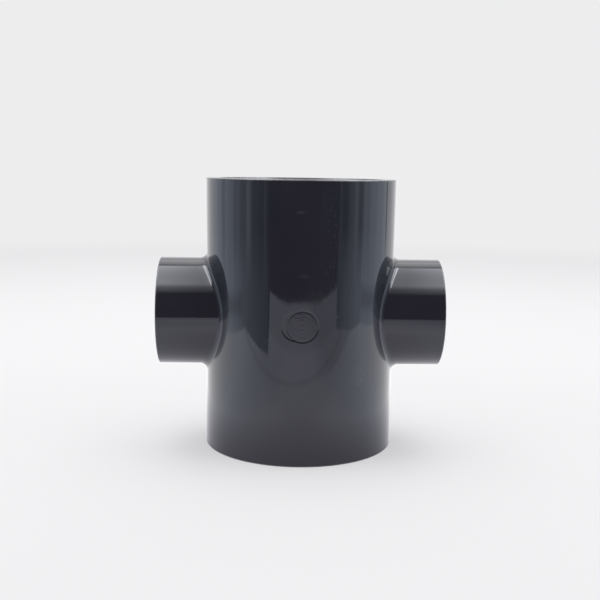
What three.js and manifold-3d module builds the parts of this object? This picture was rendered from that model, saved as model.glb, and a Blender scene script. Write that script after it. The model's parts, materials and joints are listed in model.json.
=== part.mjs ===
// Reducing pipe cross in grey PVC-U, with solvent-cement sockets: a 110 mm run crossed by two
// opposed 63 mm branches. The real fitting is one injection moulding, so it is one mesh.
//
// Frame: millimetres, origin where the run and branch axes meet, +Z along the run,
// +X along the branches, and the moulding gate on the -Y side.
import * as THREE from "three";
import { ParametricGeometry } from "three/addons/geometries/ParametricGeometry.js";
import { mergeVertices } from "three/addons/utils/BufferGeometryUtils.js";
import Module from "manifold-3d";

// Driving dimensions. "pipe" is the outside diameter of the pipe that the socket takes,
// "toStop" runs from the centre to the ledge that the pipe's end meets.
const RUN = { pipe: 110, outer: 130, toStop: 31, depth: 61, ledge: 3.5 };
const BRANCH = { pipe: 63, outer: 74, toStop: 58.5, depth: 38, ledge: 2.75 };
const WAIST = 0.5; // how much less the run's outer radius is at mid-height, from shrinkage
const FILLET = 5; // radius where a branch leaves the barrel
const EDGE = 1; // rounding of each mouth's outer edge
const LEAD_IN = { deep: 2.5, wide: 1.5 }; // chamfer at each mouth's inner edge
const MOUTH_CLEARANCE = 0.2; // a socket's radius over its pipe's at the mouth
const ROOT_CLEARANCE = 0.03; // and at the ledge
const GATE = { radius: 10.2, depth: 0.35 }; // round recess left where the sprue was cut off
const GATE_SCAR = { radius: 9.6, depth: 0.2, shift: -4 }; // shallower cut beside it

// Fineness and working margins.
const RUN_SIDES = 72;
const BRANCH_SIDES = 48;
const FILLET_STEPS = 5;
const EDGE_STEPS = 2;
const WAIST_STEPS = 6;
const FILLET_SINK = 0.08; // the fillet ends this far under the barrel, for a clean join
const PAST = 5; // cutters run this far past a face
const SAME_POINT = 1e-4; // vertices nearer than this are one

const runEnd = RUN.toStop + RUN.depth;
const branchEnd = BRANCH.toStop + BRANCH.depth;

const wasm = await Module();
wasm.setup();

// A closed surface as a solid that can be joined and cut.
function solidOf(geometry) {
  const bare = geometry.clone();
  bare.deleteAttribute("normal");
  bare.deleteAttribute("uv");
  const merged = mergeVertices(bare, SAME_POINT);
  return new wasm.Manifold(
    new wasm.Mesh({
      numProp: 3,
      vertProperties: merged.attributes.position.array,
      triVerts: new Uint32Array(merged.index.array),
    }),
  );
}

// A solid as a surface of flat-shaded faces.
function geometryOf(solid) {
  const mesh = solid.getMesh();
  const geometry = new THREE.BufferGeometry();
  geometry.setAttribute("position", new THREE.BufferAttribute(mesh.vertProperties, 3));
  geometry.setIndex(new THREE.BufferAttribute(mesh.triVerts, 1));
  const flat = geometry.toNonIndexed();
  flat.computeVertexNormals();
  return flat;
}

// Turns a profile of [radius, height] points about the Z axis.
function turned(profile, sides) {
  const points = profile.map(([radius, height]) => new THREE.Vector2(radius, height));
  return new THREE.LatheGeometry(points, sides).rotateX(Math.PI / 2);
}

// The run's outer radius at a height above the branch axis: widest at the mouths.
function barrelRadius(height) {
  return RUN.outer / 2 - WAIST * (1 - (height / runEnd) ** 2);
}

// Points round a quarter circle, from the mouth's flat face to the outer wall.
function roundedEdge(outerRadius, end) {
  const points = [];
  for (let i = 0; i <= EDGE_STEPS; i++) {
    const angle = (i / EDGE_STEPS) * (Math.PI / 2);
    const radius = outerRadius - EDGE * (1 - Math.sin(angle));
    points.push([radius, end - EDGE * (1 - Math.cos(angle))]);
  }
  return points;
}

// The outside of the run: one turned barrel with rounded ends and a slight waist.
function barrel() {
  const upper = roundedEdge(RUN.outer / 2, runEnd);
  const lower = upper.map(([radius, height]) => [radius, -height]);
  const wall = [];
  for (let i = 1; i < WAIST_STEPS; i++) {
    const height = -(runEnd - EDGE) * (1 - (2 * i) / WAIST_STEPS);
    wall.push([barrelRadius(height), height]);
  }
  return turned([[0, -runEnd], ...lower, ...wall, ...upper.toReversed(), [0, runEnd]], RUN_SIDES);
}

// The outside of the +X branch. Each ring of points goes round the branch axis; the rings
// follow the end face, its rounded edge, the wall and the fillet that spreads onto the barrel.
function branchOutside() {
  const radius = BRANCH.outer / 2;
  const mouth = [[0, branchEnd], ...roundedEdge(radius, branchEnd)];
  const rings = mouth.length + FILLET_STEPS + 2;

  function point(u, v, target) {
    const ring = Math.round(v * (rings - 1));
    const angle = -2 * Math.PI * u;
    const across = Math.cos(angle);
    const up = Math.sin(angle);
    if (ring < mouth.length) {
      const [r, x] = mouth[ring];
      return target.set(x, r * across, r * up);
    }
    // A ball rolls round the corner, touching the branch and sunk a little into the barrel.
    const ballY = (radius + FILLET) * across;
    const ballZ = (radius + FILLET) * up;
    const reach = barrelRadius(ballZ) + FILLET - FILLET_SINK;
    const ballX = Math.sqrt(reach ** 2 - ballY ** 2);
    if (ring === rings - 1) return target.set(ballX / 2, 0, 0);
    const toBranch = new THREE.Vector3(0, -across, -up);
    const toBarrel = new THREE.Vector3(-ballX, -ballY, 0).normalize();
    const turn = toBranch.angleTo(toBarrel);
    const step = (ring - mouth.length) / FILLET_STEPS;
    target
      .copy(toBranch)
      .multiplyScalar(Math.sin((1 - step) * turn))
      .addScaledVector(toBarrel, Math.sin(step * turn))
      .multiplyScalar(FILLET / Math.sin(turn));
    return target.add(new THREE.Vector3(ballX, ballY, ballZ));
  }
  return new ParametricGeometry(point, BRANCH_SIDES, rings - 1);
}

// What the moulding cores fill along one axis: a tapered socket at each end with a lead-in
// chamfer, and the narrower waterway between the two ledges.
function core({ pipe, toStop, depth, ledge }, sides) {
  const end = toStop + depth;
  const root = pipe / 2 + ROOT_CLEARANCE;
  const mouth = pipe / 2 + MOUTH_CLEARANCE;
  const slope = LEAD_IN.wide / LEAD_IN.deep;
  const upper = [
    [pipe / 2 - ledge, toStop],
    [root, toStop],
    [mouth, end - LEAD_IN.deep],
    [mouth + LEAD_IN.wide + PAST * slope, end + PAST],
  ];
  const lower = upper.map(([radius, height]) => [radius, -height]).reverse();
  return turned([[0, -end - PAST], ...lower, ...upper, [0, end + PAST]], sides);
}

// A round, shallow recess in the barrel's -Y side, with a floor that follows the barrel.
function gateRecess({ radius, depth, shift = 0 }) {
  const reach = RUN.outer / 2 + PAST;
  const punch = new THREE.CylinderGeometry(radius, radius, reach, BRANCH_SIDES);
  const floorRadius = barrelRadius(0) - depth;
  const floorHeight = 2 * (radius + PAST);
  const inside = new THREE.CylinderGeometry(floorRadius, floorRadius, floorHeight, RUN_SIDES);
  const upright = solidOf(inside.rotateX(Math.PI / 2));
  return solidOf(punch.translate(shift, -reach / 2, 0)).subtract(upright);
}

function crossBody() {
  const branch = branchOutside();
  const opposite = branch.clone().rotateZ(Math.PI);
  const branchCore = core(BRANCH, BRANCH_SIDES).rotateY(Math.PI / 2);
  const solid = solidOf(barrel())
    .add(solidOf(branch))
    .add(solidOf(opposite))
    .subtract(solidOf(core(RUN, RUN_SIDES)))
    .subtract(solidOf(branchCore))
    .subtract(gateRecess(GATE))
    .subtract(gateRecess(GATE_SCAR));

  // Injection-moulded PVC-U in dark iron grey, glossy from the mould.
  const greyPvc = new THREE.MeshStandardMaterial({
    color: new THREE.Color().setRGB(0.16, 0.165, 0.19, THREE.SRGBColorSpace),
    roughness: 0.2,
    metalness: 0,
  });
  const body = new THREE.Mesh(geometryOf(solid), greyPvc);
  body.name = "cross_body";
  return body;
}

const fitting = new THREE.Group();
fitting.add(crossBody());

export default fitting;
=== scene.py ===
"""A reducing pipe cross in dark grey PVC-U, standing on a pale floor inside a white light tent.

Metres, in the CAD frame: the run's axis is Z, the branches' axis is X, and the camera is on -Y.
"""

import json
import math

import bmesh
import bpy
from mathutils import Matrix, Vector


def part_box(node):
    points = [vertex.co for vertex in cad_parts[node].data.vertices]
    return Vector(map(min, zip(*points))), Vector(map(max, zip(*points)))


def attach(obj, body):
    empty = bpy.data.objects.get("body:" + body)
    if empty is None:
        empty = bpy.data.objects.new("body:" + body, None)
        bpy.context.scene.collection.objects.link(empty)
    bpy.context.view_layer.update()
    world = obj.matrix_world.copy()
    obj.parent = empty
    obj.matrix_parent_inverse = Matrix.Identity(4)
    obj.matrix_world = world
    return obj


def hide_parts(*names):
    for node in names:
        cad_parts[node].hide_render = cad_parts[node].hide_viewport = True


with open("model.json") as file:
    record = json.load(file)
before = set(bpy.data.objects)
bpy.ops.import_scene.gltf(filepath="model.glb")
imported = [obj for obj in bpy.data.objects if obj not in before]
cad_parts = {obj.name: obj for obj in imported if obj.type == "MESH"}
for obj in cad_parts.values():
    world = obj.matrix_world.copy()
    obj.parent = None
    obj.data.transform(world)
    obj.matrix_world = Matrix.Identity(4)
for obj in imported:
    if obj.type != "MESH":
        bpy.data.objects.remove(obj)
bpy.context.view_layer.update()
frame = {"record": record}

MM = 0.001
NODE = "cross_body"
node_low, node_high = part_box(NODE)
mounts = {mount["name"]: Vector(mount["pos_m"]) for mount in frame["record"]["mounts"]}

# Sizes taken from the frame.
RUN_RADIUS = node_high.y
RUN_END = node_high.z
RUN_STOP = mounts["top_pipe_stop"].z
BRANCH_END = node_high.x
BRANCH_STOP = mounts["right_pipe_stop"].x
FLOOR = node_low.z

# The moulding's other sizes.
RUN_PIPE = 55 * MM  # radius of the pipe that a run socket takes
RUN_WATERWAY = 51.5 * MM
BRANCH_RADIUS = 37 * MM
BRANCH_PIPE = 31.5 * MM
BRANCH_WATERWAY = 28.75 * MM
WAIST = 0.5 * MM
FILLET = 5 * MM
WATERWAY_EDGE = 1 * MM
OUTER_EDGE = 0.8 * MM
MOUTH_CLEARANCE = 0.2 * MM
ROOT_CLEARANCE = 0.03 * MM
LEAD_IN_DEEP = 2.5 * MM
LEAD_IN_WIDE = 1.5 * MM
GATE_RADIUS = 10.5 * MM
GATE_DEPTH = 0.1 * MM
GATE_GROOVE = 0.045 * MM
SCAR_RADIUS = 9.6 * MM
SCAR_DEPTH = 0.09 * MM
SCAR_SHIFT = -4 * MM
GATE_PATCH = 14.3 * MM  # radius of the round patch of finer mesh that holds both marks

# Fineness of the mesh. A window is a stretch of a wall's grid that a hole or the gate replaces.
COARSE = math.radians(1.5)
FINE = math.radians(0.5)
GATE_ANGLE = math.radians(270)
GATE_HALF = math.radians(15)
GATE_HALF_HEIGHT = 15 * MM
BRANCH_HALF = math.radians(45)
BRANCH_HALF_HEIGHT = 50 * MM
GATE_ROWS = 50
MIDDLE_ROWS = 15
END_ROWS = 10
HOLDING = 0.3 * MM  # a loop this near to each rounded corner keeps the flats flat
LONGEST = 6 * MM

SKIN, RIM, BORE = range(3)


def lerp(a, b, t):
    return a + (b - a) * t


def steps(start, stop, count):
    """Evenly spaced values from start to stop, both included."""
    return [lerp(start, stop, i / count) for i in range(count + 1)]


def smooth_step(low, high, value):
    t = min(max((value - low) / (high - low), 0), 1)
    return t * t * (3 - 2 * t)


# ---------------------------------------------------------------------------------------------
# The moulding's mesh


class Shell:
    """The points and faces of one closed surface."""

    def __init__(self):
        self.points = []
        self.faces = []
        self.finishes = []

    def ring(self, points):
        """Adds points and gives their numbers."""
        first = len(self.points)
        self.points.extend(points)
        return list(range(first, len(self.points)))

    def face(self, corners, finish):
        self.faces.append(corners)
        self.finishes.append(finish)

    def strip(self, ring_a, ring_b, finish):
        """Faces between two closed rings of the same number of points."""
        for i in range(len(ring_a)):
            j = (i + 1) % len(ring_a)
            self.face((ring_a[i], ring_a[j], ring_b[j], ring_b[i]), finish)

    def strips(self, rings, finish):
        for ring_a, ring_b in zip(rings, rings[1:]):
            self.strip(ring_a, ring_b, finish)


def barrel_radius(height):
    """The run's outside radius: a slight waist, level at both mouths."""
    t = min(abs(height) / RUN_END, 1)
    return RUN_RADIUS - WAIST * (1 - t * t) ** 2


def waterway_radius(height):
    """The run's waterway is straight, so its radius is the same at every height."""
    return RUN_WATERWAY


def rounded(corners, arc_steps):
    """A path of (radius, distance) points through corners given as (radius, distance, rounding)."""
    places = [Vector(corner[:2]) for corner in corners]
    path = [places[0]]
    for i in range(1, len(corners) - 1):
        back = (places[i - 1] - places[i]).normalized()
        ahead = (places[i + 1] - places[i]).normalized()
        half = math.acos(back.dot(ahead)) / 2
        rounding = corners[i][2]
        centre = places[i] + (back + ahead).normalized() * (rounding / math.sin(half))
        first = places[i] + back * (rounding / math.tan(half)) - centre
        last = places[i] + ahead * (rounding / math.tan(half)) - centre
        turn = math.pi - 2 * half
        add_stretch(path, centre + first)
        for t in steps(0, 1, arc_steps)[1:]:
            part = first * math.sin((1 - t) * turn) + last * math.sin(t * turn)
            path.append(centre + part / math.sin(turn))
    add_stretch(path, places[-1])
    return path


def add_stretch(path, end):
    """Goes straight from the path's end to a point, with holding points near both."""
    start = path[-1]
    length = (end - start).length
    if length > 3 * HOLDING:
        inner_start = start.lerp(end, HOLDING / length)
        inner_end = start.lerp(end, 1 - HOLDING / length)
        count = max(1, math.ceil((length - 2 * HOLDING) / LONGEST))
        path.extend(inner_start.lerp(inner_end, t) for t in steps(0, 1, count))
    if length > 0:
        path.append(end)


def mouth_section(outer, end, stop, pipe, waterway):
    """One socket's wall in section, from its outer edge round to the waterway.

    Gives the (radius, distance from the centre) points of its rim with the lead-in chamfer, of
    its bore, and of the pipe stop.
    """
    mouth = pipe + MOUTH_CLEARANCE
    root = pipe + ROOT_CLEARANCE
    lip = mouth + LEAD_IN_WIDE
    shoulder = end - LEAD_IN_DEEP
    on_chamfer = (mouth + 0.3 * LEAD_IN_WIDE, shoulder + 0.3 * LEAD_IN_DEEP, 0)
    rim = rounded(
        [
            (outer, end - OUTER_EDGE, 0),
            (outer, end, OUTER_EDGE * 0.999),
            (lip, end, 0.35 * MM),
            on_chamfer,
        ],
        8,
    )
    bore = rounded([on_chamfer, (mouth, shoulder, 0.8 * MM), (root, stop + 2 * MM, 0)], 5)
    stop_ledge = rounded(
        [
            (root, stop + 2 * MM, 0),
            (root, stop, 0.5 * MM),
            (waterway, stop, 0.4 * MM),
            (waterway, stop - 0.6 * MM, 0),
        ],
        5,
    )
    return rim, bore, stop_ledge


def column_angles():
    """Angles round the run from the gate's right-hand side, closer together at the gate."""
    gate_end = GATE_ANGLE + GATE_HALF - math.tau
    gate_start = GATE_ANGLE - GATE_HALF
    coarse = steps(gate_end, gate_start, round((gate_start - gate_end) / COARSE))
    fine = steps(gate_start, GATE_ANGLE + GATE_HALF, round(2 * GATE_HALF / FINE))
    return coarse[:-1] + fine[:-1]


def column_at(angles, angle):
    """The number of the column at an angle."""
    return min(range(len(angles)), key=lambda i: abs(angles[i] - angle))


def wall_grid(shell, angles, heights, radius_at, windows, finish):
    """A wall about Z as rows of vertices, with faces everywhere but in its windows."""
    grid = []
    for z in heights:
        r = radius_at(z)
        grid.append(shell.ring(Vector((r * math.cos(a), r * math.sin(a), z)) for a in angles))
    holes = set()
    for columns, rows in windows:
        holes.update((row, column) for row in range(*rows) for column in range(*columns))
    for row in range(len(heights) - 1):
        for column in range(len(angles)):
            if (row, column) in holes:
                continue
            after = (column + 1) % len(angles)
            low, high = grid[row], grid[row + 1]
            shell.face((low[column], low[after], high[after], high[column]), finish)
    return grid


def window_loop(grid, columns, rows):
    """The vertices round a window's edge."""
    count = len(grid[0])
    (left, right), (bottom, top) = columns, rows
    loop = [grid[bottom][column] for column in range(left, right)]
    loop += [grid[row][right % count] for row in range(bottom, top)]
    loop += [grid[top][column % count] for column in range(right, left, -1)]
    loop += [grid[row][left] for row in range(top, bottom, -1)]
    return loop


def saddle(wall_radius, branch_radius, rounding, phi, t):
    """A point on the rounding where the +X branch meets a wall about Z.

    A ball touches both. phi goes round the branch, and t from the wall (0) to the branch (1).
    """
    y = (branch_radius + rounding) * math.cos(phi)
    z = (branch_radius + rounding) * math.sin(phi)
    x = math.sqrt((wall_radius(z) + rounding) ** 2 - y * y)
    to_wall = Vector((-x, -y, 0)).normalized()
    to_branch = Vector((0, -math.cos(phi), -math.sin(phi)))
    turn = to_wall.angle(to_branch)
    part = to_wall * math.sin((1 - t) * turn) + to_branch * math.sin(t * turn)
    return Vector((x, y, z)) + part * (rounding / math.sin(turn))


def window_rings(shell, loop, wall_radius, contour, side, count):
    """Rings from a branch window's edge in to its contour, all on the wall."""
    rings = [loop]
    edge = [shell.points[i] for i in loop]
    for t in steps(0, 1, count)[1:-1]:
        points = []
        for start, end in zip(edge, contour):
            y = lerp(start.y, end.y, t)
            z = lerp(start.z, end.z, t)
            points.append(Vector((side * math.sqrt(wall_radius(z) ** 2 - y * y), y, z)))
        rings.append(shell.ring(points))
    return rings


def add_branch(shell, outer_loop, inner_loop, side):
    """One branch, from its window in the barrel out to its mouth and in to the waterway."""

    def placed(point):
        return Vector((side * point.x, point.y, point.z))

    def turned(radius, x, phis):
        return shell.ring(
            Vector((side * x, radius * math.cos(phi), radius * math.sin(phi))) for phi in phis
        )

    outer_phis = [math.atan2(shell.points[i].z, shell.points[i].y) for i in outer_loop]
    inner_phis = [math.atan2(shell.points[i].z, shell.points[i].y) for i in inner_loop]

    # Outside: barrel, fillet and wall.
    outside = (barrel_radius, BRANCH_RADIUS, FILLET)
    contour = [placed(saddle(*outside, phi, 0)) for phi in outer_phis]
    rings = window_rings(shell, outer_loop, barrel_radius, contour, side, 8)
    for t in steps(0, 1, 14):
        rings.append(shell.ring(placed(saddle(*outside, phi, t)) for phi in outer_phis))
    root = [shell.points[i] for i in rings[-1]]
    rim, bore, stop_ledge = mouth_section(
        BRANCH_RADIUS, BRANCH_END, BRANCH_STOP, BRANCH_PIPE, BRANCH_WATERWAY
    )
    wall_end = Vector((side * rim[0].y, 0, 0))
    for t in steps(0, 1, 8)[1:]:
        rings.append(shell.ring(Vector((lerp(p.x, wall_end.x, t), p.y, p.z)) for p in root))
    shell.strips(rings, SKIN)

    # Mouth, socket and pipe stop.
    last = rings[-1]
    for section, finish in ((rim, RIM), (bore, BORE), (stop_ledge, BORE)):
        rings = [last] + [turned(point.x, point.y, outer_phis) for point in section[1:]]
        shell.strips(rings, finish)
        last = rings[-1]

    # Waterway, and the edge where it opens into the run's.
    inside = (waterway_radius, BRANCH_WATERWAY, WATERWAY_EDGE)
    rings = [last]
    start_x = stop_ledge[-1].y
    for t in steps(0, 1, 8)[1:]:
        points = []
        for phi, inner_phi in zip(outer_phis, inner_phis):
            change = (inner_phi - phi + math.pi) % math.tau - math.pi
            here = phi + change * t
            end_x = saddle(*inside, here, 1).x
            y = BRANCH_WATERWAY * math.cos(here)
            z = BRANCH_WATERWAY * math.sin(here)
            points.append(Vector((side * lerp(start_x, end_x, t), y, z)))
        rings.append(shell.ring(points))
    for t in steps(1, 0, 6)[1:]:
        rings.append(shell.ring(placed(saddle(*inside, phi, t)) for phi in inner_phis))
    contour = [shell.points[i] for i in rings[-1]]
    inner = window_rings(shell, inner_loop, waterway_radius, contour, side, 6)
    shell.strips(rings + inner[::-1], BORE)


def gate_recess(x, z):
    """How deep the gate's trimmed scar lies under the barrel's surface at a point."""
    distance = math.hypot(x, z)
    beside = math.hypot(x - SCAR_SHIFT, z)
    main = GATE_DEPTH * (1 - smooth_step(GATE_RADIUS - 0.9 * MM, GATE_RADIUS + 0.3 * MM, distance))
    groove = GATE_GROOVE * math.exp(-(((distance - GATE_RADIUS + 0.5 * MM) / (0.6 * MM)) ** 2))
    scar = SCAR_DEPTH * (1 - smooth_step(SCAR_RADIUS - 0.8 * MM, SCAR_RADIUS + 0.4 * MM, beside))
    return max(main + groove, scar)


def add_gate(shell, loop):
    """The round scar of the moulding gate, in rings from its window's edge to its centre."""
    edge = [shell.points[i] for i in loop]
    radii = steps(GATE_PATCH, GATE_RADIUS + 0.5 * MM, 14)
    radii += steps(GATE_RADIUS + 0.5 * MM, GATE_RADIUS - 2.4 * MM, 22)[1:]
    radii += steps(GATE_RADIUS - 2.4 * MM, 0.5 * MM, 18)[1:]

    def on_barrel(x, z):
        r = barrel_radius(z)
        return Vector((x, gate_recess(x, z) - math.sqrt(r * r - x * x), z))

    def along(point, radius):
        scale = radius / math.hypot(point.x, point.z)
        return point.x * scale, point.z * scale

    rings = [loop]
    for t in (0.33, 0.67):
        points = []
        for point in edge:
            x, z = along(point, GATE_PATCH)
            points.append(on_barrel(lerp(point.x, x, t), lerp(point.z, z, t)))
        rings.append(shell.ring(points))
    for radius in radii:
        rings.append(shell.ring(on_barrel(*along(point, radius)) for point in edge))
    shell.strips(rings, SKIN)
    centre = shell.ring([on_barrel(0, 0)])[0]
    for i, corner in enumerate(rings[-1]):
        shell.face((corner, rings[-1][(i + 1) % len(loop)], centre), SKIN)


def build_shell():
    """The whole moulding as one closed surface."""
    shell = Shell()
    angles = column_angles()
    rim, bore, stop_ledge = mouth_section(RUN_RADIUS, RUN_END, RUN_STOP, RUN_PIPE, RUN_WATERWAY)
    wall_top = rim[0].y
    upper = steps(0, GATE_HALF_HEIGHT, GATE_ROWS // 2)
    upper += steps(GATE_HALF_HEIGHT, BRANCH_HALF_HEIGHT, MIDDLE_ROWS)[1:]
    upper += steps(BRANCH_HALF_HEIGHT, wall_top, END_ROWS)[1:]
    heights = [-z for z in upper[:0:-1]] + upper
    middle = len(upper) - 1

    right = (column_at(angles, -BRANCH_HALF), column_at(angles, BRANCH_HALF))
    left = (column_at(angles, math.pi - BRANCH_HALF), column_at(angles, math.pi + BRANCH_HALF))
    gate = (column_at(angles, GATE_ANGLE - GATE_HALF), len(angles))
    branch_rows = (middle - GATE_ROWS // 2 - MIDDLE_ROWS, middle + GATE_ROWS // 2 + MIDDLE_ROWS)
    gate_rows = (middle - GATE_ROWS // 2, middle + GATE_ROWS // 2)
    windows = ((right, branch_rows), (left, branch_rows), (gate, gate_rows))
    outside = wall_grid(shell, angles, heights, barrel_radius, windows, SKIN)
    add_gate(shell, window_loop(outside, gate, gate_rows))

    # The waterway between the pipe stops, with as many rows in its windows as the outside's.
    ledge_edge = stop_ledge[-1].y
    window_edge = BRANCH_WATERWAY + WATERWAY_EDGE + HOLDING
    row_count = branch_rows[1] - branch_rows[0]
    heights = [-ledge_edge] + steps(-window_edge, window_edge, row_count) + [ledge_edge]
    inner_rows = (1, row_count + 1)
    windows = ((right, inner_rows), (left, inner_rows))
    inside = wall_grid(shell, angles, heights, waterway_radius, windows, BORE)

    for columns, side in ((right, 1), (left, -1)):
        outer_loop = window_loop(outside, columns, branch_rows)
        inner_loop = window_loop(inside, columns, inner_rows)
        add_branch(shell, outer_loop, inner_loop, side)

    # The run's two mouths, from the outside wall to the waterway.
    def turned(point, side):
        x, y = point
        return shell.ring(Vector((x * math.cos(a), x * math.sin(a), side * y)) for a in angles)

    for side, last, end in ((1, outside[-1], inside[-1]), (-1, outside[0], inside[0])):
        for section, finish in ((rim, RIM), (bore, BORE)):
            rings = [last] + [turned(point, side) for point in section[1:]]
            shell.strips(rings, finish)
            last = rings[-1]
        ledge = [turned(point, side) for point in stop_ledge[1:-1]]
        shell.strips([last, *ledge, end], BORE)
    return shell


def make_moulding(materials):
    """The one visible piece, with a material for each of SKIN, RIM and BORE."""
    shell = build_shell()
    mesh = bpy.data.meshes.new("cross_moulding")
    mesh.from_pydata(shell.points, [], shell.faces)
    for material in materials:
        mesh.materials.append(material)
    mesh.polygons.foreach_set("material_index", shell.finishes)
    mesh.polygons.foreach_set("use_smooth", [True] * len(shell.faces))
    work = bmesh.new()
    work.from_mesh(mesh)
    loose = [vertex for vertex in work.verts if not vertex.link_faces]
    bmesh.ops.delete(work, geom=loose, context="VERTS")
    bmesh.ops.recalc_face_normals(work, faces=work.faces)
    work.to_mesh(mesh)
    work.free()
    piece = bpy.data.objects.new("cross_moulding", mesh)
    bpy.context.collection.objects.link(piece)
    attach(piece, "root")
    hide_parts(NODE)
    return piece


# ---------------------------------------------------------------------------------------------
# Materials


class Nodes:
    """Short ways to add shader nodes to a material or world."""

    def __init__(self, owner):
        owner.use_nodes = True
        self.tree = owner.node_tree
        self.tree.nodes.clear()

    def add(self, kind, inputs=None, **settings):
        node = self.tree.nodes.new(kind)
        for name, value in settings.items():
            setattr(node, name, value)
        for name, value in (inputs or {}).items():
            if isinstance(value, bpy.types.NodeSocket):
                self.tree.links.new(value, node.inputs[name])
            else:
                node.inputs[name].default_value = value
        return node

    def coordinates(self, scale=(1, 1, 1)):
        source = self.add("ShaderNodeTexCoord").outputs["Object"]
        mapping = self.add("ShaderNodeMapping", {"Vector": source, "Scale": scale})
        return mapping.outputs["Vector"]

    def noise(self, vector, scale, detail=2.0, roughness=0.5):
        inputs = {"Vector": vector, "Scale": scale, "Detail": detail, "Roughness": roughness}
        return self.add("ShaderNodeTexNoise", inputs).outputs["Fac"]

    def calculate(self, operation, a, b=0.0, c=0.0):
        node = self.add("ShaderNodeMath", {0: a, 1: b, 2: c}, operation=operation)
        return node.outputs[0]

    def spread(self, value, low, high, to_low=0.0, to_high=1.0):
        """Stretches a range of values to another, clamped."""
        names = ("Value", "From Min", "From Max", "To Min", "To Max")
        inputs = dict(zip(names, (value, low, high, to_low, to_high)))
        return self.add("ShaderNodeMapRange", inputs, clamp=True).outputs[0]

    def mix(self, factor, a, b):
        node = self.add("ShaderNodeMix", data_type="RGBA")
        for index, value in ((0, factor), (6, a), (7, b)):
            if isinstance(value, bpy.types.NodeSocket):
                self.tree.links.new(value, node.inputs[index])
            else:
                node.inputs[index].default_value = value
        return node.outputs[2]

    def bump(self, height, distance, strength=1.0, normal=None):
        inputs = {"Height": height, "Distance": distance, "Strength": strength}
        if normal is not None:
            inputs["Normal"] = normal
        return self.add("ShaderNodeBump", inputs).outputs["Normal"]

    def blend_shaders(self, factor, a, b):
        node = self.add("ShaderNodeMixShader", {0: factor})
        for index, shader in ((1, a), (2, b)):
            socket = shader if isinstance(shader, bpy.types.NodeSocket) else shader.outputs[0]
            self.tree.links.new(socket, node.inputs[index])
        return node.outputs[0]

    def output(self, shader, kind="ShaderNodeOutputMaterial"):
        self.add(kind, {"Surface": shader})

    def plastic(self, colour, roughness, normal):
        """Ends the material with the shader that all the PVC-U surfaces share."""
        inputs = {"Base Color": colour, "Roughness": roughness, "Normal": normal, "IOR": PVC_IOR}
        self.output(self.add("ShaderNodeBsdfPrincipled", inputs).outputs[0])

    def shine(self, tint, strength):
        """Ends the material of a sheet that glows."""
        inputs = {"Color": tint, "Strength": strength}
        self.output(self.add("ShaderNodeEmission", inputs).outputs[0])


# Iron grey PVC-U, and for the trimmed rims a paler grey that is partly painted sheen; each between two
# close shades.
PVC = (0.0150, 0.0156, 0.0225, 1)
PVC_LIGHT = (0.0178, 0.0185, 0.0262, 1)
TRIMMED_AND_SHEEN = (0.045, 0.046, 0.050, 1)
TRIMMED_LIGHT_AND_SHEEN = (0.085, 0.086, 0.088, 1)
SCUFF = (0.085, 0.087, 0.095, 1)
PVC_IOR = 1.54
SWIRL_PITCH = 2.6 * MM


def fine_scratches(nodes):
    """Thin handling marks: where a stretched noise crosses its middle, in a few patches."""
    wide = nodes.coordinates((1, 1, 0.22))
    lines = nodes.noise(wide, 260.0, 3.0)
    near = nodes.calculate("ABSOLUTE", nodes.calculate("SUBTRACT", lines, 0.5))
    line = nodes.spread(near, 0.0, 0.004, 1.0, 0.0)
    patches = nodes.spread(nodes.noise(nodes.coordinates(), 45.0, 2.0), 0.62, 0.72)
    return nodes.calculate("MULTIPLY", line, patches)


def specks(nodes):
    """Sparse pale dust specks under a millimetre across."""
    dots = nodes.spread(nodes.noise(nodes.coordinates(), 1300.0, 1.0), 0.70, 0.76)
    patches = nodes.spread(nodes.noise(nodes.coordinates(), 38.0, 3.0), 0.60, 0.70)
    return nodes.calculate("MULTIPLY", dots, patches)


def spot(nodes, centre, size):
    """One inside an ellipsoid about a point, fading to nothing at its edge."""
    offset = tuple(-c / r for c, r in zip(centre, size))
    source = nodes.add("ShaderNodeTexCoord").outputs["Object"]
    scaled = {"Vector": source, "Scale": tuple(1 / r for r in size), "Location": offset}
    place = nodes.add("ShaderNodeMapping", scaled).outputs["Vector"]
    reach = nodes.add("ShaderNodeVectorMath", {0: place}, operation="LENGTH").outputs["Value"]
    return nodes.spread(reach, 0.5, 1.0, 1.0, 0.0)


def handling_marks(nodes):
    """Rubbed places on the front: dashes, a fall of dust, and scuffs by the gate and low down."""
    front = -RUN_RADIUS
    grain = nodes.noise(nodes.coordinates((1, 1, 1.6)), 900.0, 3.0, 0.7)
    dust = nodes.spread(nodes.noise(nodes.coordinates(), 850.0, 1.0), 0.64, 0.72)
    # Centre and half sizes, which grains show, and how strongly.
    marks = (
        ((-2 * MM, front, 72 * MM), (4 * MM, 9 * MM, 1.2 * MM), (0.40, 0.60), 0.5),
        ((1 * MM, front, 32 * MM), (4 * MM, 9 * MM, 1.6 * MM), (0.42, 0.62), 0.35),
        ((-11.6 * MM, front, 0), (2 * MM, 9 * MM, 6 * MM), (0.42, 0.60), 0.35),
        ((37 * MM, -53 * MM, -34 * MM), (6 * MM, 12 * MM, 8 * MM), (0.52, 0.60), 0.8),
    )
    dusty = spot(nodes, (17 * MM, front, 55 * MM), (8 * MM, 20 * MM, 38 * MM))
    total = nodes.calculate("MULTIPLY", dusty, dust)
    total = nodes.calculate("MULTIPLY", total, 0.5)
    for centre, size, (low, high), amount in marks:
        grains = nodes.spread(grain, low, high, 0.0, amount)
        mark = nodes.calculate("MULTIPLY", spot(nodes, centre, size), grains)
        total = nodes.calculate("MAXIMUM", total, mark)
    return total


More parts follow.
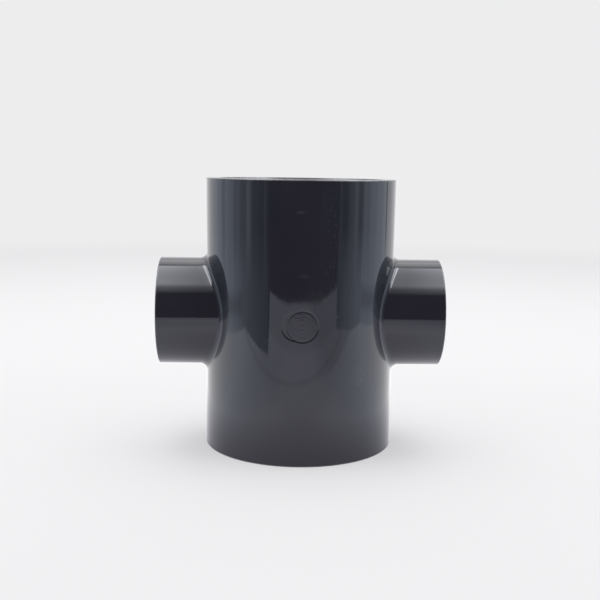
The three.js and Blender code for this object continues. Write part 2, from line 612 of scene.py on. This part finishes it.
def gate_face(nodes):
    """The distance from the gate's axis, and a mask that is one on its round scar."""
    place = nodes.coordinates()
    x, y, z = nodes.add("ShaderNodeSeparateXYZ", {0: place}).outputs
    square = nodes.calculate("MULTIPLY_ADD", x, x, nodes.calculate("MULTIPLY", z, z))
    distance = nodes.calculate("SQRT", square)
    disc = nodes.spread(distance, GATE_RADIUS - 0.6 * MM, GATE_RADIUS, 1.0, 0.0)
    front = nodes.calculate("LESS_THAN", y, 0.0)
    return distance, nodes.calculate("MULTIPLY", disc, front)


def skin_material():
    """The moulding's glossy outside."""
    material = bpy.data.materials.new("pvc_skin")
    nodes = Nodes(material)
    place = nodes.coordinates()
    cloud = nodes.noise(place, 22.0, 4.0)
    marks = nodes.calculate("MAXIMUM", fine_scratches(nodes), specks(nodes))
    marks = nodes.calculate("MAXIMUM", marks, handling_marks(nodes))
    colour = nodes.mix(nodes.spread(cloud, 0.35, 0.65), PVC, PVC_LIGHT)
    colour = nodes.mix(nodes.calculate("MULTIPLY", marks, 0.55), colour, SCUFF)

    smears = nodes.noise(nodes.coordinates((1, 1, 0.5)), 60.0, 5.0, 0.6)
    roughness = nodes.spread(smears, 0.35, 0.75, 0.03, 0.06)
    roughness = nodes.calculate("ADD", roughness, nodes.calculate("MULTIPLY", marks, 0.3))
    distance, gate = gate_face(nodes)
    roughness = nodes.calculate("MULTIPLY_ADD", gate, 0.09, roughness)

    # The mould's parting line, flow ripples, the skin's own texture, and the gate's cutter swirl.
    y = nodes.add("ShaderNodeSeparateXYZ", {0: place}).outputs["Y"]
    parting = nodes.spread(nodes.calculate("ABSOLUTE", y), 0.05 * MM, 0.22 * MM, 1.0, 0.0)
    ripple = nodes.noise(place, 55.0, 1.0)
    peel = nodes.noise(place, 700.0, 2.0)
    wobble = nodes.calculate("MULTIPLY_ADD", nodes.noise(place, 160.0, 1.0), 9 * MM, distance)
    swirl = nodes.calculate("SINE", nodes.calculate("MULTIPLY", wobble, math.tau / SWIRL_PITCH))
    swirl = nodes.calculate("MULTIPLY", swirl, gate)
    normal = nodes.bump(ripple, 0.02 * MM)
    normal = nodes.bump(peel, 0.002 * MM, normal=normal)
    normal = nodes.bump(parting, 0.02 * MM, normal=normal)
    normal = nodes.bump(swirl, 0.006 * MM, normal=normal)
    nodes.plastic(colour, roughness, normal)
    return material


def rim_material():
    """The socket ends' faces, a little duller from trimming and handling, in a paler grey that is
    partly painted sheen.
    """
    material = bpy.data.materials.new("pvc_rim")
    nodes = Nodes(material)
    place = nodes.coordinates()
    cloud = nodes.noise(place, 90.0, 4.0)
    # Paler grey, partly trimmed plastic and partly painted sheen that brightens the rim.
    colour = nodes.mix(nodes.spread(cloud, 0.35, 0.65), TRIMMED_AND_SHEEN, TRIMMED_LIGHT_AND_SHEEN)
    roughness = nodes.spread(cloud, 0.3, 0.7, 0.18, 0.32)
    normal = nodes.bump(nodes.noise(place, 900.0, 3.0), 0.002 * MM)
    nodes.plastic(colour, roughness, normal)
    return material


def bore_material():
    """The sockets and waterways, with faint lines from the steel cores being drawn out."""
    material = bpy.data.materials.new("pvc_bore")
    nodes = Nodes(material)
    place = nodes.coordinates()
    cloud = nodes.noise(place, 30.0, 4.0)
    colour = nodes.mix(nodes.spread(cloud, 0.35, 0.65), PVC, PVC_LIGHT)
    roughness = nodes.spread(nodes.noise(place, 80.0, 4.0), 0.3, 0.7, 0.12, 0.2)
    along_run = nodes.noise(nodes.coordinates((1, 1, 0.03)), 600.0, 2.0)
    normal = nodes.bump(along_run, 0.006 * MM)
    nodes.plastic(colour, roughness, normal)
    return material


# ---------------------------------------------------------------------------------------------
# Stage: floor, what the gloss reflects, lights and camera


def flat_sheet(name, corners):
    """A flat face of the stage, which isn't part of the object."""
    mesh = bpy.data.meshes.new(name)
    mesh.from_pydata([Vector(corner) for corner in corners], [], [tuple(range(len(corners)))])
    sheet = bpy.data.objects.new(name, mesh)
    bpy.context.collection.objects.link(sheet)
    return sheet


def reflected_only(sheet):
    """The sheet shows in glossy reflections and nowhere else."""
    sheet.visible_camera = False
    sheet.visible_diffuse = False
    sheet.visible_transmission = False
    sheet.visible_volume_scatter = False
    sheet.visible_shadow = False


def upright(name, x0, y0, x1, y1, bottom, top):
    """A vertical sheet above the line from (x0, y0) to (x1, y1)."""
    return flat_sheet(name, [(x0, y0, bottom), (x1, y1, bottom), (x1, y1, top), (x0, y0, top)])


def level(name, x0, x1, y0, y1, z):
    """A horizontal sheet."""
    return flat_sheet(name, [(x0, y0, z), (x1, y0, z), (x1, y1, z), (x0, y1, z)])


# Colours of the floor and backdrop, and of what the gloss reflects.
BACKDROP = (0.85, 0.85, 0.86, 1)
PAPER = (0.80, 0.80, 0.81, 1)
EVEN_LIGHT = 0.80
ROOM = (0.085, 0.055, 0.080, 1)
WALL_TINT = (0.88, 1.0, 1.17, 1)
BACK_TINT = (1.0, 1.0, 1.03, 1)
LAMP_TINT = (1.0, 1.01, 1.10, 1)
CLOTH_TINT = (1.03, 1.0, 1.18, 1)
CLOTH_NEAR_TINT = (1.03, 1.02, 1.14, 1)
CLOTH_SIDE_TINT = (0.95, 1.0, 1.13, 1)

# The white tent, as the gloss shows it: open towards the camera, with a cloth that runs out of
# the opening over a table in a dark room. A wall's plan is its corners (x, y), from the opening
# back. Its bands of painted light and shade are (y, half width, how much brighter or darker).
TENT_TOP = FLOOR + 0.52
TENT_BACK = 0.55
STRIPS_FRONT, STRIPS_BACK = -0.285, 0.15  # the roof's two bright strips
LAMP_FRONT, LAMP_BACK = -0.46, 0.19
FRAME_BACK = 0.27
ROOM_END = -1.6
LEFT_PLAN = ((-0.25, -0.34), (-0.40, -0.28), (-0.51, -0.22), (-0.50, TENT_BACK))
LEFT_PAINTED_BANDS = (
    (-0.327, 0.007, 2.3),
    (-0.245, 0.025, 2.2),
    (-0.165, 0.03, 0.85),
    (-0.08, 0.03, 0.85),
    (0.105, 0.04, 0.75),
)
RIGHT_PLAN = ((0.37, -0.43), (0.43, -0.36), (0.47, -0.28), (0.56, -0.18), (0.58, TENT_BACK))
RIGHT_PAINTED_BANDS = (
    (-0.41, 0.010, 2.2),
    (-0.36, 0.035, 0.55),
    (-0.255, 0.018, 1.35),
    (-0.195, 0.045, 0.58),
    (-0.09, 0.04, 0.85),
    (0.30, 0.03, 0.43),
)


def make_floor():
    """A pale floor that fades into the backdrop far behind; its glow is painted light that thins the
    object's shadow.
    """
    floor = level("floor", -4, 4, -4, 4, FLOOR - 0.02 * MM)
    material = bpy.data.materials.new("pale_floor")
    nodes = Nodes(material)
    place = nodes.add("ShaderNodeTexCoord").outputs["Object"]
    reach = nodes.add("ShaderNodeVectorMath", {0: place}, operation="LENGTH").outputs["Value"]
    # Share of painted glow: less right by the object, so some of its shadow shows, more further out; a
    # touch brighter near it.
    near_share = nodes.spread(reach, 0.08, 0.18, 0.30, 0.72)
    share = nodes.calculate("MAXIMUM", near_share, nodes.spread(reach, 0.3, 1.8))
    level_glow = nodes.spread(reach, 0.4, 1.8, 1.02, 1.0)
    paper = nodes.add("ShaderNodeBsdfDiffuse", {"Color": PAPER, "Roughness": 0.5})
    fill_glow = nodes.add("ShaderNodeEmission", {"Color": BACKDROP, "Strength": level_glow})
    shader = nodes.blend_shaders(share, paper, fill_glow)
    nodes.output(shader)
    floor.data.materials.append(material)
    floor.visible_glossy = False


def make_world():
    """A pale backdrop, even light for the matt surfaces, and a dark room for the gloss."""
    world = bpy.data.worlds.new("tent")
    bpy.context.scene.world = world
    nodes = Nodes(world)
    path = nodes.add("ShaderNodeLightPath")
    seen = nodes.add("ShaderNodeBackground", {"Color": BACKDROP, "Strength": 1.0})
    room = nodes.add("ShaderNodeBackground", {"Color": ROOM, "Strength": 1.0})
    even = nodes.add("ShaderNodeBackground", {"Color": BACKDROP, "Strength": EVEN_LIGHT})
    shader = nodes.blend_shaders(path.outputs["Is Camera Ray"], even, seen)
    shader = nodes.blend_shaders(path.outputs["Is Glossy Ray"], shader, room)
    nodes.output(shader, "ShaderNodeOutputWorld")


def glow_sheet(sheet, tint, strength):
    """Makes a sheet shine evenly, in glossy reflections only."""
    material = bpy.data.materials.new(sheet.name)
    Nodes(material).shine(tint, strength)
    sheet.data.materials.append(material)
    reflected_only(sheet)


def make_wall(name, plan, painted_bands):
    """A tent wall of cloth, glowing with painted light: dim at the opening, brighter further in,
    with painted bright and dark bands above its foot and painted shade in the crease at its foot.
    """
    count = len(plan)
    corners = [(x, y, z) for z in (FLOOR, TENT_TOP) for x, y in plan]
    mesh = bpy.data.meshes.new(name)
    mesh.from_pydata(corners, [], [(i, i + 1, i + 1 + count, i + count) for i in range(count - 1)])
    wall = bpy.data.objects.new(name, mesh)
    bpy.context.collection.objects.link(wall)

    material = bpy.data.materials.new(name)
    nodes = Nodes(material)
    place = nodes.add("ShaderNodeTexCoord").outputs["Object"]
    _, y, z = nodes.add("ShaderNodeSeparateXYZ", {0: place}).outputs
    opening = plan[0][1]
    low = nodes.spread(y, opening, opening + 0.30, 0.28, 1.2)
    high = nodes.spread(y, opening, opening + 0.36, 0.10, 1.12)
    # Painted bright and dark bands across the wall.
    for middle, half_width, change in painted_bands:
        off = nodes.calculate("ABSOLUTE", nodes.calculate("SUBTRACT", y, middle))
        band_shade = nodes.spread(off, 0.3 * half_width, half_width, change, 1.0)
        high = nodes.calculate("MULTIPLY", high, band_shade)
    rise = nodes.spread(z, FLOOR + 0.045, FLOOR + 0.115)
    glow = nodes.calculate("MULTIPLY_ADD", nodes.calculate("SUBTRACT", high, low), rise, low)
    # Painted shade in the crease along the wall's foot, from a little way in.
    off_crease = nodes.calculate("ABSOLUTE", nodes.calculate("SUBTRACT", z, FLOOR + 0.030))
    crease_shade = nodes.spread(off_crease, 0.004, 0.020, 0.62, 1.0)
    crease_shade = nodes.calculate("MAXIMUM", crease_shade, nodes.spread(y, -0.20, -0.06, 1.0, 0.0))
    ripples = nodes.noise(nodes.coordinates((1, 1, 0)), 45.0, 2.0)
    ripples = nodes.spread(ripples, 0.3, 0.7, 0.90, 1.10)
    strength = nodes.calculate("MULTIPLY", nodes.calculate("MULTIPLY", glow, crease_shade), ripples)
    tint = nodes.mix(nodes.spread(y, 0.15, 0.45), WALL_TINT, BACK_TINT)
    nodes.shine(tint, strength)
    mesh.materials.append(material)
    reflected_only(wall)


def make_cloth():
    """The cloth that the object stands on, out to its edge on the table in front.

    Its glow is painted light: brighter further in and to the sides, darker along a line across the
    front and at the front right, with the object's painted shadow by its foot.
    """
    front = [(0.61, -0.67), (0.25, -0.705), (0.16, -0.73), (0.03, -0.75), (-0.10, -0.74)]
    front += [(-0.19, -0.71), (-0.50, -0.68)]
    outline = [*reversed(RIGHT_PLAN), *front, *LEFT_PLAN]
    cloth = flat_sheet("cloth", [(x, y, FLOOR + 0.2 * MM) for x, y in outline])

    material = bpy.data.materials.new("cloth")
    nodes = Nodes(material)
    place = nodes.add("ShaderNodeTexCoord").outputs["Object"]
    x, y, _ = nodes.add("ShaderNodeSeparateXYZ", {0: place}).outputs
    aside = nodes.calculate("ABSOLUTE", x)
    depth = nodes.calculate("MULTIPLY_ADD", aside, 0.5, y)
    wide = nodes.coordinates((1.3, 1, 1))
    reach = nodes.add("ShaderNodeVectorMath", {0: wide}, operation="LENGTH").outputs["Value"]
    strength = nodes.spread(y, -0.46, -0.43, 0.90, 1.06)
    from_dark_line = nodes.calculate("MULTIPLY_ADD", x, 0.17, y)
    from_dark_line = nodes.calculate("ABSOLUTE", nodes.calculate("SUBTRACT", from_dark_line, -0.307))
    front_right = nodes.spread(x, 0.08, 0.20, 1.0, 0.78)
    # Painted light and shade: brighter to the sides and further in, a dark line, darker at the front
    # right, and the object's painted shadow round its foot.
    factors = (
        nodes.spread(depth, -0.18, 0.08, 1.0, 1.52),
        nodes.spread(from_dark_line, 0.006, 0.020, 0.86, 1.0),
        nodes.spread(reach, 0.06, 0.225, 0.26, 1.0),
        nodes.calculate("MAXIMUM", front_right, nodes.spread(y, -0.32, -0.29)),
    )
    for factor in factors:
        strength = nodes.calculate("MULTIPLY", strength, factor)
    tint = nodes.mix(nodes.spread(y, -0.34, -0.20), CLOTH_TINT, CLOTH_NEAR_TINT)
    tint = nodes.mix(nodes.spread(aside, 0.08, 0.18), tint, CLOTH_SIDE_TINT)
    tint = nodes.mix(nodes.spread(y, -0.03, 0.08), tint, BACK_TINT)
    nodes.shine(tint, strength)
    cloth.data.materials.append(material)
    reflected_only(cloth)


def make_lamp(left, right):
    """The lit roof, which fades out over the opening."""
    lamp = level("lamp", left, right, LAMP_FRONT, LAMP_BACK, TENT_TOP)
    material = bpy.data.materials.new("lamp")
    nodes = Nodes(material)
    place = nodes.add("ShaderNodeTexCoord").outputs["Object"]
    x, y, _ = nodes.add("ShaderNodeSeparateXYZ", {0: place}).outputs
    outside = nodes.spread(y, -0.45, -0.29, 0.08, 1.2)
    inside = nodes.spread(y, -0.29, -0.20, 0.0, 2.2)
    strength = nodes.calculate("ADD", outside, inside)
    aside = nodes.calculate("ABSOLUTE", nodes.calculate("SUBTRACT", x, 0.02))
    strength = nodes.calculate("MULTIPLY", strength, nodes.spread(aside, 0.115, 0.19, 0.68, 1.4))
    nodes.shine(LAMP_TINT, strength)
    lamp.data.materials.append(material)
    reflected_only(lamp)


def make_tent():
    """The tent's sheets, and two dim patches of the room beyond its opening."""
    make_cloth()
    make_wall("tent_left", LEFT_PLAN, LEFT_PAINTED_BANDS)
    make_wall("tent_right", RIGHT_PLAN, RIGHT_PAINTED_BANDS)
    left, right = LEFT_PLAN[-1][0], RIGHT_PLAN[-1][0]
    back = upright("tent_back", left, TENT_BACK, right, TENT_BACK, FLOOR, TENT_TOP)
    glow_sheet(back, BACK_TINT, 1.15)
    make_lamp(left, right)
    for x in (-0.27, 0.20):
        strip = level("lamp_strip", x, x + 0.07, STRIPS_FRONT, STRIPS_BACK, TENT_TOP - 2 * MM)
        glow_sheet(strip, BACK_TINT, 10.0)
    glow_sheet(level("lamp_frame", left, right, LAMP_BACK, FRAME_BACK, TENT_TOP), BACK_TINT, 1.3)
    glow_sheet(level("tent_roof", left, right, FRAME_BACK, TENT_BACK, TENT_TOP), BACK_TINT, 1.8)
    for name, x0, x1, strength in (("room_left", -1.45, -0.80, 0.06), ("room_right", 0.62, 1.50, 0.10)):
        far = upright(name, x0, ROOM_END, x1, ROOM_END, FLOOR, TENT_TOP)
        glow_sheet(far, WALL_TINT, strength)


def make_lights():
    """Soft lights aimed at the object from above and both sides. The gloss shows the tent."""
    lights = (
        ("roof_light", (0, 0.35, 0.9), 1.0, 8.0),
        ("left_light", (-0.9, -0.1, 0.4), 0.8, 2.5),
        ("right_light", (0.9, -0.1, 0.4), 0.8, 2.5),
    )
    for name, place, width, watts in lights:
        lamp = bpy.data.lights.new(name, "AREA")
        lamp.shape = "RECTANGLE"
        lamp.size = width
        lamp.size_y = 0.8
        lamp.energy = watts
        holder = bpy.data.objects.new(name, lamp)
        holder.location = place
        aim = -Vector(place)
        holder.rotation_euler = aim.to_track_quat("-Z", "Y").to_euler()
        holder.visible_glossy = False
        holder.visible_camera = False
        bpy.context.collection.objects.link(holder)


def make_camera():
    """At the photographer's place: a little over the rim's height, turned and rolled slightly."""
    data = bpy.data.cameras.new("camera")
    data.lens = 54.05
    data.sensor_width = 36
    camera = bpy.data.objects.new("camera", data)
    distance = 9.6 * RUN_RADIUS
    azimuth = math.radians(-1.76)
    pitch = math.radians(-8.356)
    heading = math.radians(1.778)
    roll = math.radians(0.81)
    place = Vector((distance * math.sin(azimuth), -distance * math.cos(azimuth), 0))
    place.z = FLOOR + 2.944 * RUN_RADIUS
    turn = Matrix.Rotation(-heading, 4, "Z") @ Matrix.Rotation(math.pi / 2 + pitch, 4, "X")
    camera.matrix_world = Matrix.Translation(place) @ turn @ Matrix.Rotation(roll, 4, "Z")
    bpy.context.collection.objects.link(camera)
    bpy.context.scene.camera = camera


scene = bpy.context.scene
scene.view_settings.view_transform = "Standard"
make_camera()
make_moulding([skin_material(), rim_material(), bore_material()])
make_floor()
make_world()
make_tent()
make_lights()
